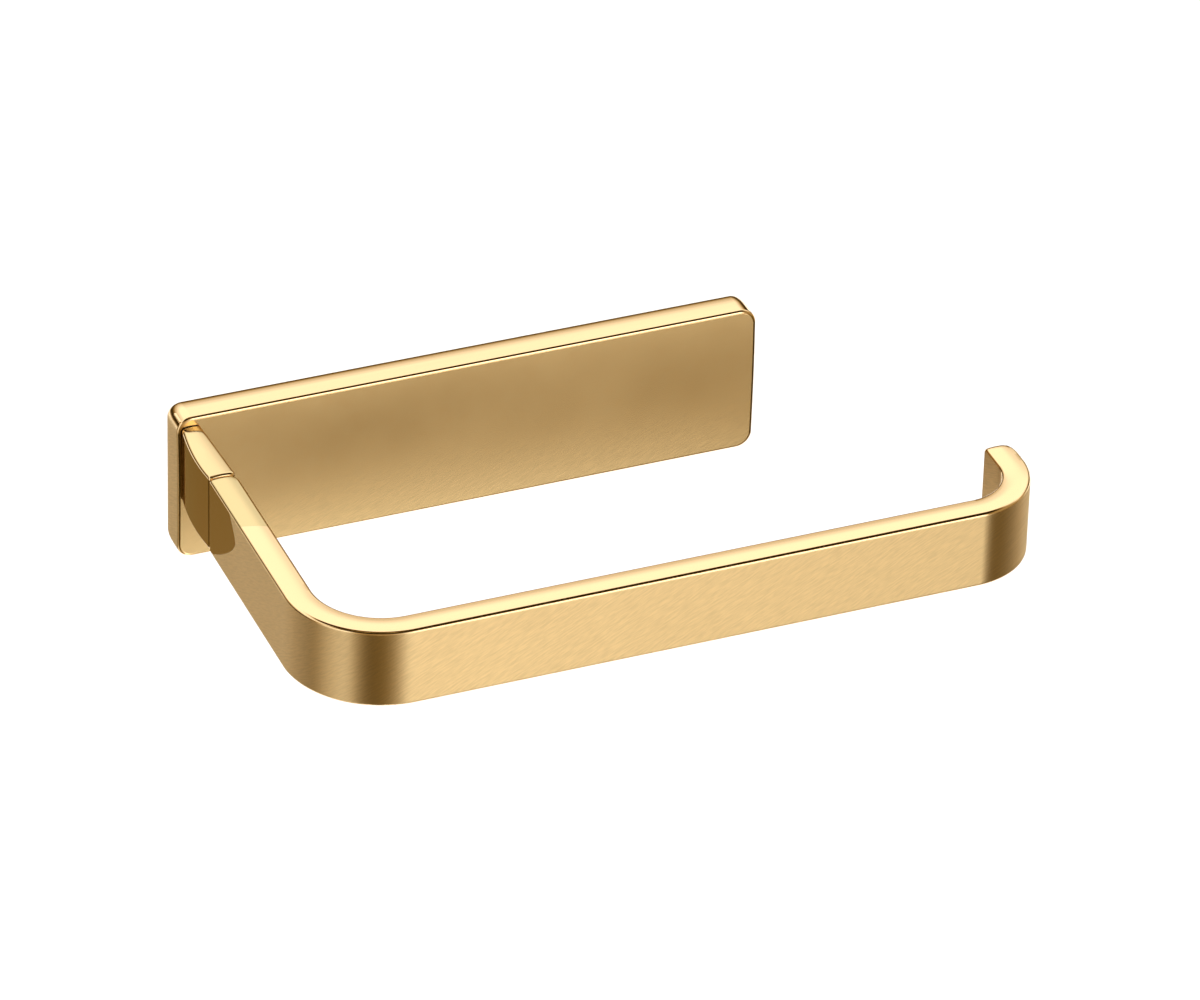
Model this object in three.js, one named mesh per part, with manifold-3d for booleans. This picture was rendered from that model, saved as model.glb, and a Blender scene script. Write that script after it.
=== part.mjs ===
// Wall-mounted open toilet paper holder. A hollow cover hides a folded steel wall bracket and is
// locked to it by two set screws. A short post stands on the cover's left end, and a bent flat bar
// plugs into the post and carries the roll; the roll slides on over the hooked free end.
//
// Millimetres. X runs along the wall, -Y points into the room and +Z is up. The origin is on the
// wall plane, behind the middle of the cover.

import * as THREE from 'three';
import { mergeVertices } from 'three/addons/utils/BufferGeometryUtils.js';
import Module from 'manifold-3d';

const wasm = await Module();
wasm.setup();

// ---------------------------------------------------------------- driving dimensions

const GAP = 0.2; // clearance between neighbouring pieces
const ROUND_SIDES = 24; // facets round a screw or a hole
const HEXAGON = 6;
const BEND_STEPS = 12; // facets in a quarter turn of the bar
const CORNER_STEPS = 8; // facets in a quarter turn of the cover's corners
const EDGE_STEPS = 2; // facets across a rounded edge
const CUT = 1; // how far a cutting solid runs past the face that it opens
const WELD = 1e-4; // points closer than this are one point

const cover = {
  width: 134.6,
  height: 35.8,
  depth: 8,
  corner: 3.5,
  edge: 0.7, // rounding of the outer edges
  wall: 1.6,
  front: 1.8, // thickness of the front wall
};

const bar = {
  thickness: 6.2,
  height: 18.9,
  edge: 0.5,
  drop: 2, // from the top of the cover to the top of the bar
  reach: 96, // from the wall to the room face of the bar
  end: 99.7, // outer face of the hook, from the middle of the cover
  frontBend: 15.4, // inner radius of the large bend
  hookBend: 10.6, // inner radius of the small bend
  tip: 71.8, // from the wall to the end of the hook
  tipOuter: 4, // corner radii in plan, at the hook's end and at the joint
  tipInner: 0.9,
  jointOuter: 0.6,
  jointInner: 2,
};

const post = {
  joint: 28, // from the wall to the middle of the joint line
  jointGap: 0.4,
  rootInset: 1, // from the cover's left end to the post's left side
  rootWidth: 4.4,
  bulge: 1.3, // how far the left side's control point stands out past the cover's end
  crown: 19, // how far from the wall it stands out most
  corner: 1,
};

const tenon = { thickness: 3, height: 12, length: 8.6 };

const bracket = {
  left: -56,
  right: 60,
  bottom: -12,
  thickness: 2,
  flange: 5.8, // how far the folded edges stand off the wall
  corner: 2,
  slotAt: 36, // from the middle of the cover to each slot
  slotWidth: 5,
  slotLength: 12,
};

const boss = { right: -58, bottom: -3, depth: 2.8 };
const postScrew = { radius: 1.25, headRadius: 2.25, headHeight: 1.7, length: 10.4, spread: 5, x: -64 };
const setScrew = { radius: 2, length: 4.6, at: 50, offWall: 3.6, padWidth: 9, padTop: -13, drive: 1.1 };
const armScrew = { radius: 1.5, length: 2.6, offWall: 23.5, drive: 0.8 };
const wallScrew = { radius: 1.9, headRadius: 4, headHeight: 2.4, intoWall: 17, point: 4 };
const plug = { radius: 3, start: 2.6, length: 17.2, collar: 3.6, collarLength: 1, slit: 0.8, slitLength: 10 };

// driver recesses: depth, and the rest as shares of the head's or the shank's radius
const recess = { depth: 1.2, crossReach: 0.55, crossHalfWidth: 0.12, hexagon: 0.7, headFace: 0.7 };

const left = -cover.width / 2;
const barTop = cover.height / 2 - bar.drop;
const barBottom = barTop - bar.height;
const barMiddle = (barTop + barBottom) / 2;
const barInside = left + bar.thickness;

// ---------------------------------------------------------------- solids

function solid(geometry) {
  const bare = geometry.index ? geometry.toNonIndexed() : geometry.clone();
  bare.deleteAttribute('normal');
  bare.deleteAttribute('uv');
  const merged = mergeVertices(bare, WELD);
  return new wasm.Manifold(new wasm.Mesh({
    numProp: 3,
    vertProperties: new Float32Array(merged.attributes.position.array),
    triVerts: new Uint32Array(merged.index.array),
  }));
}

function geometryOf(body) {
  const mesh = body.getMesh();
  const geometry = new THREE.BufferGeometry();
  geometry.setAttribute('position', new THREE.BufferAttribute(new Float32Array(mesh.vertProperties), 3));
  geometry.setIndex(new THREE.BufferAttribute(new Uint32Array(mesh.triVerts), 1));
  geometry.computeVertexNormals();
  return geometry;
}

// A block between two corners.
function block(low, high) {
  const size = high.map((value, axis) => value - low[axis]);
  const middle = high.map((value, axis) => (value + low[axis]) / 2);
  return solid(new THREE.BoxGeometry(...size).translate(...middle));
}

// A round, six-sided or other regular bar along Y, from the depth y0 to the depth y1.
function barAlongY(radius, x, z, y0, y1, sides = ROUND_SIDES) {
  const geometry = new THREE.CylinderGeometry(radius, radius, Math.abs(y1 - y0), sides);
  return solid(geometry.translate(x, (y0 + y1) / 2, z));
}

// The same along Z, from the height z0 to the height z1.
function barAlongZ(radius, x, y, z0, z1, sides = ROUND_SIDES) {
  const geometry = new THREE.CylinderGeometry(radius, radius, Math.abs(z1 - z0), sides);
  return solid(geometry.rotateX(Math.PI / 2).translate(x, y, (z0 + z1) / 2));
}

// A piece turned about an axis that runs along Y, from a profile of [radius, y] points.
function turned(profile, x, z) {
  const points = profile.map(([radius, y]) => new THREE.Vector2(radius, y));
  return solid(new THREE.LatheGeometry(points, ROUND_SIDES).translate(x, 0, z));
}

// An outline drawn in plan, raised to a height with rounded upper and lower edges.
function slab(outline, bottom, top, edge) {
  const geometry = new THREE.ExtrudeGeometry(outline, {
    depth: top - bottom - 2 * edge,
    curveSegments: BEND_STEPS,
    bevelSize: edge,
    bevelThickness: edge,
    bevelOffset: -edge,
    bevelSegments: EDGE_STEPS,
  });
  return solid(geometry.translate(0, 0, bottom + edge));
}

// An upright rounded rectangle, from the depth back to the depth front, off the wall.
function uprightSlab(x0, x1, z0, z1, corner, back, front, edge) {
  const outline = new THREE.Shape();
  outline.moveTo(x0 + corner, z0);
  outline.absarc(x1 - corner, z0 + corner, corner, -Math.PI / 2, 0, false);
  outline.absarc(x1 - corner, z1 - corner, corner, 0, Math.PI / 2, false);
  outline.absarc(x0 + corner, z1 - corner, corner, Math.PI / 2, Math.PI, false);
  outline.absarc(x0 + corner, z0 + corner, corner, Math.PI, Math.PI * 1.5, false);
  const geometry = new THREE.ExtrudeGeometry(outline, {
    depth: front - back - 2 * edge,
    curveSegments: CORNER_STEPS,
    bevelEnabled: edge > 0,
    bevelSize: edge,
    bevelThickness: edge,
    bevelOffset: -edge,
    bevelSegments: EDGE_STEPS,
  });
  return solid(geometry.translate(0, 0, back + edge).rotateX(Math.PI / 2));
}

// A cross-shaped driver recess in a head that faces the room.
function crossDrive(radius, x, z, face) {
  const reach = radius * recess.crossReach;
  const width = radius * recess.crossHalfWidth;
  const floor = face + recess.depth;
  const across = block([x - reach, face - CUT, z - width], [x + reach, floor, z + width]);
  const upright = block([x - width, face - CUT, z - reach], [x + width, floor, z + reach]);
  return across.add(upright);
}

// ---------------------------------------------------------------- cover

function coverPlate() {
  const halfWidth = cover.width / 2;
  const halfHeight = cover.height / 2;
  const inside = cover.depth - cover.front;
  let body = uprightSlab(
    -halfWidth, halfWidth, -halfHeight, halfHeight, cover.corner, 0, cover.depth, cover.edge,
  );
  body = body.subtract(uprightSlab(
    -halfWidth + cover.wall, halfWidth - cover.wall, -halfHeight + cover.wall, halfHeight - cover.wall,
    cover.corner - cover.wall, -CUT, inside, 0,
  ));

  // solid pad behind the post, and one round each set screw
  const joined = cover.wall / 2;
  body = body.add(block(
    [left + joined, -inside - joined, boss.bottom],
    [boss.right, -inside + boss.depth, halfHeight - joined],
  ));
  for (const side of [-1, 1]) {
    const x = side * setScrew.at;
    body = body.add(block(
      [x - setScrew.padWidth / 2, -inside - joined, -halfHeight + joined],
      [x + setScrew.padWidth / 2, -CUT, setScrew.padTop],
    ));
    const hole = setScrew.radius + GAP;
    body = body.subtract(barAlongZ(hole, x, -setScrew.offWall, -halfHeight - CUT, setScrew.padTop + CUT));
  }

  // stepped holes for the two screws that hold the post
  for (const side of [-1, 1]) {
    const z = barMiddle + side * postScrew.spread;
    const seat = -inside + boss.depth - postScrew.headHeight - GAP;
    body = body.subtract(barAlongY(postScrew.radius + GAP, postScrew.x, z, CUT, -cover.depth - CUT));
    body = body.subtract(barAlongY(postScrew.headRadius + GAP, postScrew.x, z, CUT, seat));
  }
  return body;
}

// ---------------------------------------------------------------- wall bracket

function wallBracket() {
  const top = cover.height / 2 - cover.wall - GAP;
  const { left: x0, right: x1, bottom, thickness, flange, corner } = bracket;
  let body = uprightSlab(x0, x1, bottom, top, corner, 0, thickness, 0);
  for (const [z0, z1] of [[bottom, bottom + thickness], [top - thickness, top]]) {
    body = body.add(block([x0 + corner, -flange, z0], [x1 - corner, -thickness / 2, z1]));
  }
  const straight = (bracket.slotLength - bracket.slotWidth) / 2;
  const radius = bracket.slotWidth / 2;
  for (const side of [-1, 1]) {
    const x = side * bracket.slotAt;
    body = body.subtract(block([x - straight, -thickness - CUT, -radius], [x + straight, CUT, radius]));
    for (const end of [-straight, straight]) {
      body = body.subtract(barAlongY(radius, x + end, 0, CUT, -thickness - CUT));
    }
  }
  return body;
}

// ---------------------------------------------------------------- post

function postOutline() {
  const outline = new THREE.Shape();
  const root = -cover.depth - GAP;
  const end = -post.joint + post.jointGap / 2;
  const rootLeft = left + post.rootInset;
  outline.moveTo(rootLeft + post.rootWidth, root);
  outline.lineTo(rootLeft, root);
  outline.quadraticCurveTo(left - post.bulge, -post.crown, left + bar.jointOuter, end);
  outline.lineTo(barInside - post.corner, end);
  outline.absarc(barInside - post.corner, end + post.corner, post.corner, -Math.PI / 2, 0, false);
  return outline;
}

function armPost() {
  const middle = left + bar.thickness / 2;
  const halfThick = tenon.thickness / 2 + GAP;
  const halfHigh = tenon.height / 2 + GAP;
  const end = -post.joint + post.jointGap / 2;
  let body = slab(postOutline(), barBottom, barTop, bar.edge);
  body = body.subtract(block(
    [middle - halfThick, end - CUT, barMiddle - halfHigh],
    [middle + halfThick, end + tenon.length + GAP, barMiddle + halfHigh],
  ));
  body = body.subtract(barAlongZ(
    armScrew.radius + GAP, middle, -armScrew.offWall, barBottom - CUT, barMiddle,
  ));
  const blindEnd = -cover.depth - GAP - postScrew.length + cover.front;
  for (const side of [-1, 1]) {
    const z = barMiddle + side * postScrew.spread;
    body = body.subtract(barAlongY(postScrew.radius + GAP, postScrew.x, z, blindEnd, -cover.depth + CUT));
  }
  return body;
}

// ---------------------------------------------------------------- roll arm

function armOutline() {
  const outline = new THREE.Shape();
  const start = -post.joint - post.jointGap / 2;
  const outerBend = bar.frontBend + bar.thickness;
  const outerHook = bar.hookBend + bar.thickness;
  const bend = { x: left + outerBend, y: -bar.reach + outerBend };
  const hook = { x: bar.end - outerHook, y: -bar.reach + outerHook };
  const hookInside = bar.end - bar.thickness;
  const quarter = Math.PI / 2;
  const { tipOuter, tipInner, jointOuter, jointInner } = bar;

  outline.moveTo(left, start - jointOuter);
  outline.absarc(bend.x, bend.y, outerBend, 2 * quarter, 3 * quarter, false);
  outline.absarc(hook.x, hook.y, outerHook, 3 * quarter, 4 * quarter, false);
  outline.absarc(bar.end - tipOuter, -bar.tip - tipOuter, tipOuter, 0, quarter, false);
  outline.absarc(hookInside + tipInner, -bar.tip - tipInner, tipInner, quarter, 2 * quarter, false);
  outline.absarc(hook.x, hook.y, bar.hookBend, 0, -quarter, true);
  outline.absarc(bend.x, bend.y, bar.frontBend, -quarter, -2 * quarter, true);
  outline.absarc(barInside - jointInner, start - jointInner, jointInner, 0, quarter, false);
  outline.absarc(left + jointOuter, start - jointOuter, jointOuter, quarter, 2 * quarter, false);
  return outline;
}

function rollArm() {
  const middle = left + bar.thickness / 2;
  const start = -post.joint - post.jointGap / 2;
  const body = slab(armOutline(), barBottom, barTop, bar.edge);
  return body.add(block(
    [middle - tenon.thickness / 2, start - bar.jointInner, barMiddle - tenon.height / 2],
    [middle + tenon.thickness / 2, start + tenon.length, barMiddle + tenon.height / 2],
  ));
}

// ---------------------------------------------------------------- fasteners

function postScrewAt(z) {
  const seat = -(cover.depth - cover.front) + boss.depth - postScrew.headHeight;
  const { radius, headRadius, headHeight, length, x } = postScrew;
  const face = seat + headHeight;
  const end = -cover.depth - length + cover.front;
  const body = turned([
    [0, end], [radius, end], [radius, seat], [headRadius, seat], [headRadius, face], [0, face],
  ], x, z);
  const drive = barAlongY(radius * recess.hexagon, x, z, face + CUT, face - recess.depth, HEXAGON);
  return body.subtract(drive);
}

// A headless screw that stands upright, with a hexagon socket in its lower end.
function socketScrew(radius, x, y, bottom, length, drive) {
  const body = barAlongZ(radius, x, y, bottom, bottom + length);
  return body.subtract(barAlongZ(drive, x, y, bottom - CUT, bottom + length / 2, HEXAGON));
}

function wallScrewAt(x) {
  const { radius, headRadius, headHeight, intoWall, point } = wallScrew;
  const seat = -bracket.thickness - GAP;
  const face = seat - headHeight;
  const body = turned([
    [0, face], [headRadius * recess.headFace, face], [headRadius, seat - headHeight / 2], [headRadius, seat],
    [radius, seat], [radius, intoWall - point], [0, intoWall],
  ], x, 0);
  return body.subtract(crossDrive(headRadius, x, 0, face));
}

function wallPlugAt(x) {
  const { radius, start, length, collar, collarLength, slit, slitLength } = plug;
  const bore = wallScrew.radius + GAP;
  const end = start + length;
  const floor = end - collarLength;
  const body = turned([
    [bore, start], [collar, start], [collar, start + collarLength], [radius, start + collarLength],
    [radius, floor], [bore, end], [0, end], [0, floor], [bore, floor], [bore, start],
  ], x, 0);
  return body.subtract(block([x - slit / 2, end - slitLength, -collar], [x + slit / 2, floor - CUT, collar]));
}

// ---------------------------------------------------------------- materials

function finish(color, roughness, metalness) {
  return new THREE.MeshStandardMaterial({ color, roughness, metalness });
}

const satinGold = () => finish(0xc79a55, 0.38, 1);
const polishedGold = () => finish(0xe6bd72, 0.12, 1);
const zincSteel = () => finish(0xb4b6b8, 0.42, 1);
const blackSteel = () => finish(0x3a3a3c, 0.5, 1);
const nylon = () => finish(0xb9bcbf, 0.6, 0);

// ---------------------------------------------------------------- assembly

function piece(name, body, material) {
  const mesh = new THREE.Mesh(geometryOf(body), material);
  mesh.name = name;
  return mesh;
}

const holder = new THREE.Group();
holder.add(
  piece('cover_plate', coverPlate(), satinGold()),
  piece('wall_bracket', wallBracket(), zincSteel()),
  piece('arm_post', armPost(), polishedGold()),
  piece('roll_arm', rollArm(), satinGold()),
);

for (const [name, side] of [['lower', -1], ['upper', 1]]) {
  holder.add(piece(`post_screw_${name}`, postScrewAt(barMiddle + side * postScrew.spread), zincSteel()));
}

const armMiddle = left + bar.thickness / 2;
const armScrewBody = socketScrew(
  armScrew.radius, armMiddle, -armScrew.offWall, barBottom + GAP, armScrew.length, armScrew.drive,
);
holder.add(piece('arm_set_screw', armScrewBody, blackSteel()));

for (const [name, side] of [['left', -1], ['right', 1]]) {
  const bottom = bracket.bottom - GAP - setScrew.length;
  const body = socketScrew(
    setScrew.radius, side * setScrew.at, -setScrew.offWall, bottom, setScrew.length, setScrew.drive,
  );
  holder.add(piece(`cover_set_screw_${name}`, body, blackSteel()));
  holder.add(piece(`wall_screw_${name}`, wallScrewAt(side * bracket.slotAt), zincSteel()));
  holder.add(piece(`wall_plug_${name}`, wallPlugAt(side * bracket.slotAt), nylon()));
}

export default holder;
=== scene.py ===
"""Toilet paper holder: the looks of a wall-mounted open holder in satin and polished gold.

Metres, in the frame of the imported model: X runs along the wall towards the hooked end, -Y points
into the room and +Z is up.
"""

import math

import bmesh
import bpy
from bpy.props import FloatProperty, FloatVectorProperty, IntProperty, PointerProperty
from mathutils import Matrix, Vector


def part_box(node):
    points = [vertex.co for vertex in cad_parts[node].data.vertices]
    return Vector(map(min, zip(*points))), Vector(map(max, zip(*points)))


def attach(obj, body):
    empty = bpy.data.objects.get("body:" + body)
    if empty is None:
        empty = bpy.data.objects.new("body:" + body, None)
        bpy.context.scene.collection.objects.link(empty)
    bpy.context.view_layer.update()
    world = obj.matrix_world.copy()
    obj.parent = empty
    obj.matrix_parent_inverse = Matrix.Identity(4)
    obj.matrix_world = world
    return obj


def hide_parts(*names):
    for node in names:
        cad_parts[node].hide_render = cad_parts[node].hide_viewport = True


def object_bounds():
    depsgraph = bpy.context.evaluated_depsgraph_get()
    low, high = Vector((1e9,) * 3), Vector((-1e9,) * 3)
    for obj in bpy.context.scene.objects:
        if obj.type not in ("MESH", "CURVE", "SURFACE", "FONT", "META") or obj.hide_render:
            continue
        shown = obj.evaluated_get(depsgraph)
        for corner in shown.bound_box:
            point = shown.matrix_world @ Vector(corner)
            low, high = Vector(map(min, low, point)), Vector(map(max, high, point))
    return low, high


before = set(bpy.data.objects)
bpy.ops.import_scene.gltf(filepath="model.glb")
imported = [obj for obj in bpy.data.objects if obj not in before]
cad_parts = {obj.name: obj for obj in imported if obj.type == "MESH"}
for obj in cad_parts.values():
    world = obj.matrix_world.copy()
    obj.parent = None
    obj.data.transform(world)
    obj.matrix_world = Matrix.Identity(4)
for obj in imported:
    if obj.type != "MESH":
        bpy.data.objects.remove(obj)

bl_info = {
    "name": "Toilet Paper Holder",
    "version": (1, 0, 0),
    "blender": (4, 5, 0),
    "location": "3D View > Sidebar > Holder",
    "description": "Makes the cover, post, arm, fasteners and stage of an open toilet paper holder",
    "category": "Object",
}

MM = 0.001
TURN = 2 * math.pi
QUARTER = math.pi / 2

# how finely round shapes are cut
CORNER_STEPS = 14
SIDE_STEPS = 30
RIM_STEPS = 8
EDGE_STEPS = 6
CROWN_STEPS = 12
POST_STEPS = 40
LARGE_BEND_STEPS = 40
SMALL_BEND_STEPS = 36
FRONT_STEPS = 24

SHARP_FROM = math.radians(40.0)
RIDGE_SHARP_FROM = math.radians(50.0)
GRAIN_TURN = 0.25

# a face is satin while the upright part of its normal is below the first share, and polished
# above the second
POLISHED_BAND = (0.15, 0.5)

# the polished tongue by the joint, in millimetres: how far from the wall it runs, and how it
# curves back below and above that, as a (factor, power) of the height
TONGUE_REACH = 44.8
TONGUE_BELOW = (0.485, 1.38)
TONGUE_ABOVE = (0.28, 1.55)
TONGUE_EDGE = 0.25
# how soft the edge of the painted shade on the top of the bar's root is
ROOT_SHADE_EDGE = 0.12
LEFT_LEG = (8.0 * MM, 12.0 * MM)

# the slanting brush marks: their slope, and how many fit in a metre across and along
BRUSH_SLOPE = math.radians(28.0)
BRUSH_FINE, BRUSH_COARSE = 2600.0, 300.0

# distances from each end of the bar at which its rounded ends need a ring of points
END_RINGS = [share * MM for share in (0.03, 0.1, 0.2, 0.35, 0.55, 0.8, 1.1, 1.5, 2.0, 2.6)]

# the point that the camera faces, and how far its aim lies to the right of it and above it
VIEW_MIDDLE = (-0.15 * MM, -35.73 * MM, -17.9 * MM)
AIM_RIGHT, AIM_UP = 18.77, 15.04
SENSOR_WIDTH = 36.0

cad_box = [list(corner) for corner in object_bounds()]


def length(label, about, millimetres):
    """A size in metres, shown in the scene's unit."""
    return FloatProperty(name=label, description=about, default=millimetres * MM, unit="LENGTH", precision=5)


def strength(label, about, value):
    """A plain number."""
    return FloatProperty(name=label, description=about, default=value, min=0.0)


def angle(label, about, degrees):
    """An angle, shown in degrees."""
    return FloatProperty(name=label, description=about, default=math.radians(degrees), subtype="ANGLE")


def factor(label, about, share):
    """A share from 0 to 1."""
    return FloatProperty(name=label, description=about, default=share, min=0.0, max=1.0, subtype="FACTOR")


def colour(label, about, red, green, blue):
    """A linear colour."""
    return FloatVectorProperty(
        name=label, description=about, default=(red, green, blue), size=3, min=0.0, max=1.0, subtype="COLOR"
    )


# ---------------------------------------------------------------- sizes and colours


class CoverSizes(bpy.types.PropertyGroup):
    """The hollow cover on the wall."""

    corner: length("Corner", "Radius of the four corners", 3.5)
    face_corner: length("Face corner", "Radius of the satin face's own corners", 3.2)
    front_edge: length("Front edge", "Rounding between the face and the sides", 0.7)
    back_depth: length("Back rounding depth", "How far the soft rounding at the wall runs forward", 3.6)
    back_inset: length("Back rounding inset", "How far the cover draws in at the wall", 0.6)
    face_crown: length("Face crown", "How far the face stands out in the middle", 0.45)
    wall: length("Wall", "Thickness of the sides", 1.6)
    front: length("Front wall", "Thickness of the front", 1.8)
    pad_depth: length("Post pad depth", "Thickness of the pad behind the post", 2.8)
    pad_right: length("Post pad edge", "Where the pad behind the post ends", -58.0)
    pad_bottom: length("Post pad bottom", "Lower edge of the pad behind the post", -3.0)
    screw_pad_width: length("Screw pad width", "Width of the pads round the set screws", 9.0)
    screw_pad_back: length("Screw pad back", "From the wall to the pads round the set screws", 1.0)
    back_chamfer: length("Back chamfer", "Cut at the inner edge of the rim on the wall", 0.15)
    screw_pad_top: length("Screw pad top", "Upper edge of the pads round the set screws", -13.0)


class BarSizes(bpy.types.PropertyGroup):
    """The flat bar and the post that it plugs into."""

    thickness: length("Thickness", "Thickness of the bar", 6.2)
    edge: length("Edge", "Rounding of the bar's edges", 0.65)
    crown: length("Crown", "How far the top and bottom stand up in the middle", 0.25)
    front_bend: length("Large bend", "Radius of the large bend along its middle", 18.5)
    hook_bend: length("Small bend", "Radius of the small bend along its middle", 13.7)
    joint_gap: length("Joint gap", "Gap between the post and the bar", 0.4)
    joint_outer: length("Joint outer corner", "Corner radius at the joint, on the outside", 0.6)
    joint_inner: length("Joint inner corner", "Corner radius at the joint, on the inside", 2.0)
    tip_outer: length("Tip outer corner", "Corner radius at the hook's end, on the outside", 4.0)
    tip_inner: length("Tip inner corner", "Corner radius at the hook's end, on the inside", 0.9)
    tip: length("Tip", "From the wall to the end of the hook", 71.8)
    tip_top: length("Tip top corner", "Rounding of the hook's end at its top", 1.6)
    root_inset: length("Root inset", "From the cover's left end to the post's left side", 1.0)
    root_width: length("Root width", "Width of the post where it leaves the cover", 4.4)
    bulge: length("Bulge", "How far the post's left side is drawn out past the cover's end", 1.0)
    bulge_at: length("Bulge position", "How far from the wall the post is drawn out most", 19.0)
    post_corner: length("Post corner", "Corner radius of the post at the joint, on the inside", 1.0)
    tenon_thickness: length("Tenon thickness", "Thickness of the tenon in the joint", 3.0)
    tenon_height: length("Tenon height", "Height of the tenon in the joint", 12.0)
    tenon_length: length("Tenon length", "Length of the tenon in the joint", 8.6)
    tip_in: length("Post tip offset", "How far the post's left side ends inside the cover's end", 0.25)
    # where the painted shade on the top of the bar's root ends, and how it slants
    shaded_root_zone: length("Root zone", "How far from the wall the polished root of the bar runs", 47.4)
    shaded_root_slant: factor("Root slant", "How much sooner the root's top ends on the inside", 0.34)
    tongue_rise: length("Tongue middle", "How far above the middle the tongue runs farthest", 3.2)


class FastenerSizes(bpy.types.PropertyGroup):
    """Threads of the screws and ribs of the wall plugs."""

    clearance: length("Clearance", "Room round each screw", 0.2)
    thread_height: length("Wood thread height", "How far the wall screws' threads stand out", 0.55)
    thread_pitch: length("Wood thread pitch", "Distance between the wall screws' turns", 1.8)
    fine_height: length("Fine thread height", "How far the small screws' threads stand out", 0.12)
    fine_pitch: length("Fine thread pitch", "Distance between the small screws' turns", 0.5)
    thread_start: length("Wood thread start", "Where the wall screws' threads begin, behind the wall", 1.2)
    wood_shank: length("Wall screw shank", "Radius of the wall screws' shanks", 1.9)
    wood_point: length("Wall screw point", "Length of the wall screws' points", 4.0)
    post_shank: length("Post screw shank", "Radius of the post screws' shanks", 1.25)
    post_head: length("Post screw head", "Height of the post screws' heads", 1.9)
    post_thread: length("Post screw thread", "Length of the post screws' threads", 7.5)
    plug_radius: length("Plug radius", "Radius of the wall plugs", 3.0)
    point_end: length("Wall screw tip", "Radius at which the thread on the point runs out", 0.25)
    first_rib: length("First rib", "From the plug's collar end to its first rib", 2.6)
    last_rib: length("Last rib", "From the plug's last rib to its far end", 3.0)
    rib_height: length("Rib height", "How far the plugs' ribs stand out", 0.4)
    rib_count: IntProperty(name="Ribs", description="Number of ribs along each wall plug", default=8, min=1)


class Finishes(bpy.types.PropertyGroup):
    """Colours and polish of the metals and the nylon."""

    satin_gold: colour("Satin gold", "Colour of the brushed faces", 1.0, 0.715, 0.345)
    # face gold is painted shade: the cover's face is laid on darker than the bar's satin gold
    face_gold_painted_shade: colour("Face gold", "Colour of the cover's face", 0.78, 0.545, 0.25)
    polished_gold: colour("Polished gold", "Colour of the polished edges and the post", 1.0, 0.71, 0.37)
    # root gold is painted shade on the top of the bar's root and on the post's top and bottom; half of it
    # also darkens the brush marks
    root_shade_and_mark_gold: colour("Root gold", "Colour of the top of the bar's polished root", 0.78, 0.59, 0.28)
    satin: factor("Satin roughness", "Roughness of the brushed faces", 0.38)
    face_satin: factor("Face roughness", "Roughness of the cover's face", 0.15)
    grain: factor("Grain direction", "How much rougher the brushed faces are across the grain", 0.9)
    polish: factor("Polish roughness", "Roughness of the polished faces", 0.09)
    brushing: factor("Brushing", "Depth of the fine brush marks", 0.8)
    zinc: colour("Zinc", "Colour of the zinc-plated steel", 0.62, 0.63, 0.64)
    oxide: colour("Black oxide", "Colour of the blackened set screws", 0.055, 0.055, 0.06)
    nylon: colour("Nylon", "Colour of the wall plugs", 0.42, 0.43, 0.45)


class StageSizes(bpy.types.PropertyGroup):
    """Camera, floor and light."""

    azimuth: angle("Azimuth", "How far the camera stands to the right", -22.588)
    elevation: angle("Elevation", "How far the camera stands above the horizon", 33.609)
    roll: angle("Roll", "Turn of the camera about its own line of sight", 1.632)
    distance: length("Distance", "From the camera to the middle of the view", 1841.7)
    lens: strength("Lens", "Focal length in millimetres", 255.0)
    floor_drop: length("Floor", "How far the floor lies below the holder", 320.0)
    floor_size: length("Floor size", "Side of the square floor", 9000.0)
    room_light: strength("Room light", "Strength of the soft surroundings", 1.0)
    top_light: strength("Top light", "Strength of the soft light on the floor", 2.6)
    top_light_width: angle("Top light width", "How wide the soft light on the floor looks", 120.0)


# ---------------------------------------------------------------- node trees from expressions


class Wire:
    """One output in a node tree, which can be used in sums like a number."""

    def __init__(self, tree, socket):
        self.tree = tree
        self.socket = socket

    def maths(self, operation, *values):
        return self.tree.add("ShaderNodeMath", {"operation": operation}, dict(enumerate(values)))

    def __add__(self, other):
        return self.maths("ADD", self, other)

    def __sub__(self, other):
        return self.maths("SUBTRACT", self, other)

    def __rsub__(self, other):
        return self.maths("SUBTRACT", other, self)

    def __mul__(self, other):
        return self.maths("MULTIPLY", self, other)

    def __truediv__(self, other):
        return self.maths("DIVIDE", self, other)

    def __rtruediv__(self, other):
        return self.maths("DIVIDE", other, self)

    def __pow__(self, other):
        return self.maths("POWER", self, other)

    def __neg__(self):
        return self.maths("MULTIPLY", self, -1.0)

    def __abs__(self):
        return self.maths("ABSOLUTE", self)

    __radd__ = __add__
    __rmul__ = __mul__

    def least(self, other):
        return self.maths("MINIMUM", self, other)

    def most(self, other):
        return self.maths("MAXIMUM", self, other)

    def rise(self, low, high):
        """0 below low, 1 above high and a smooth step between them."""
        values = {"Value": self, "From Min": low, "From Max": high}
        return self.tree.add("ShaderNodeMapRange", {"interpolation_type": "SMOOTHSTEP"}, values)


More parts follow.
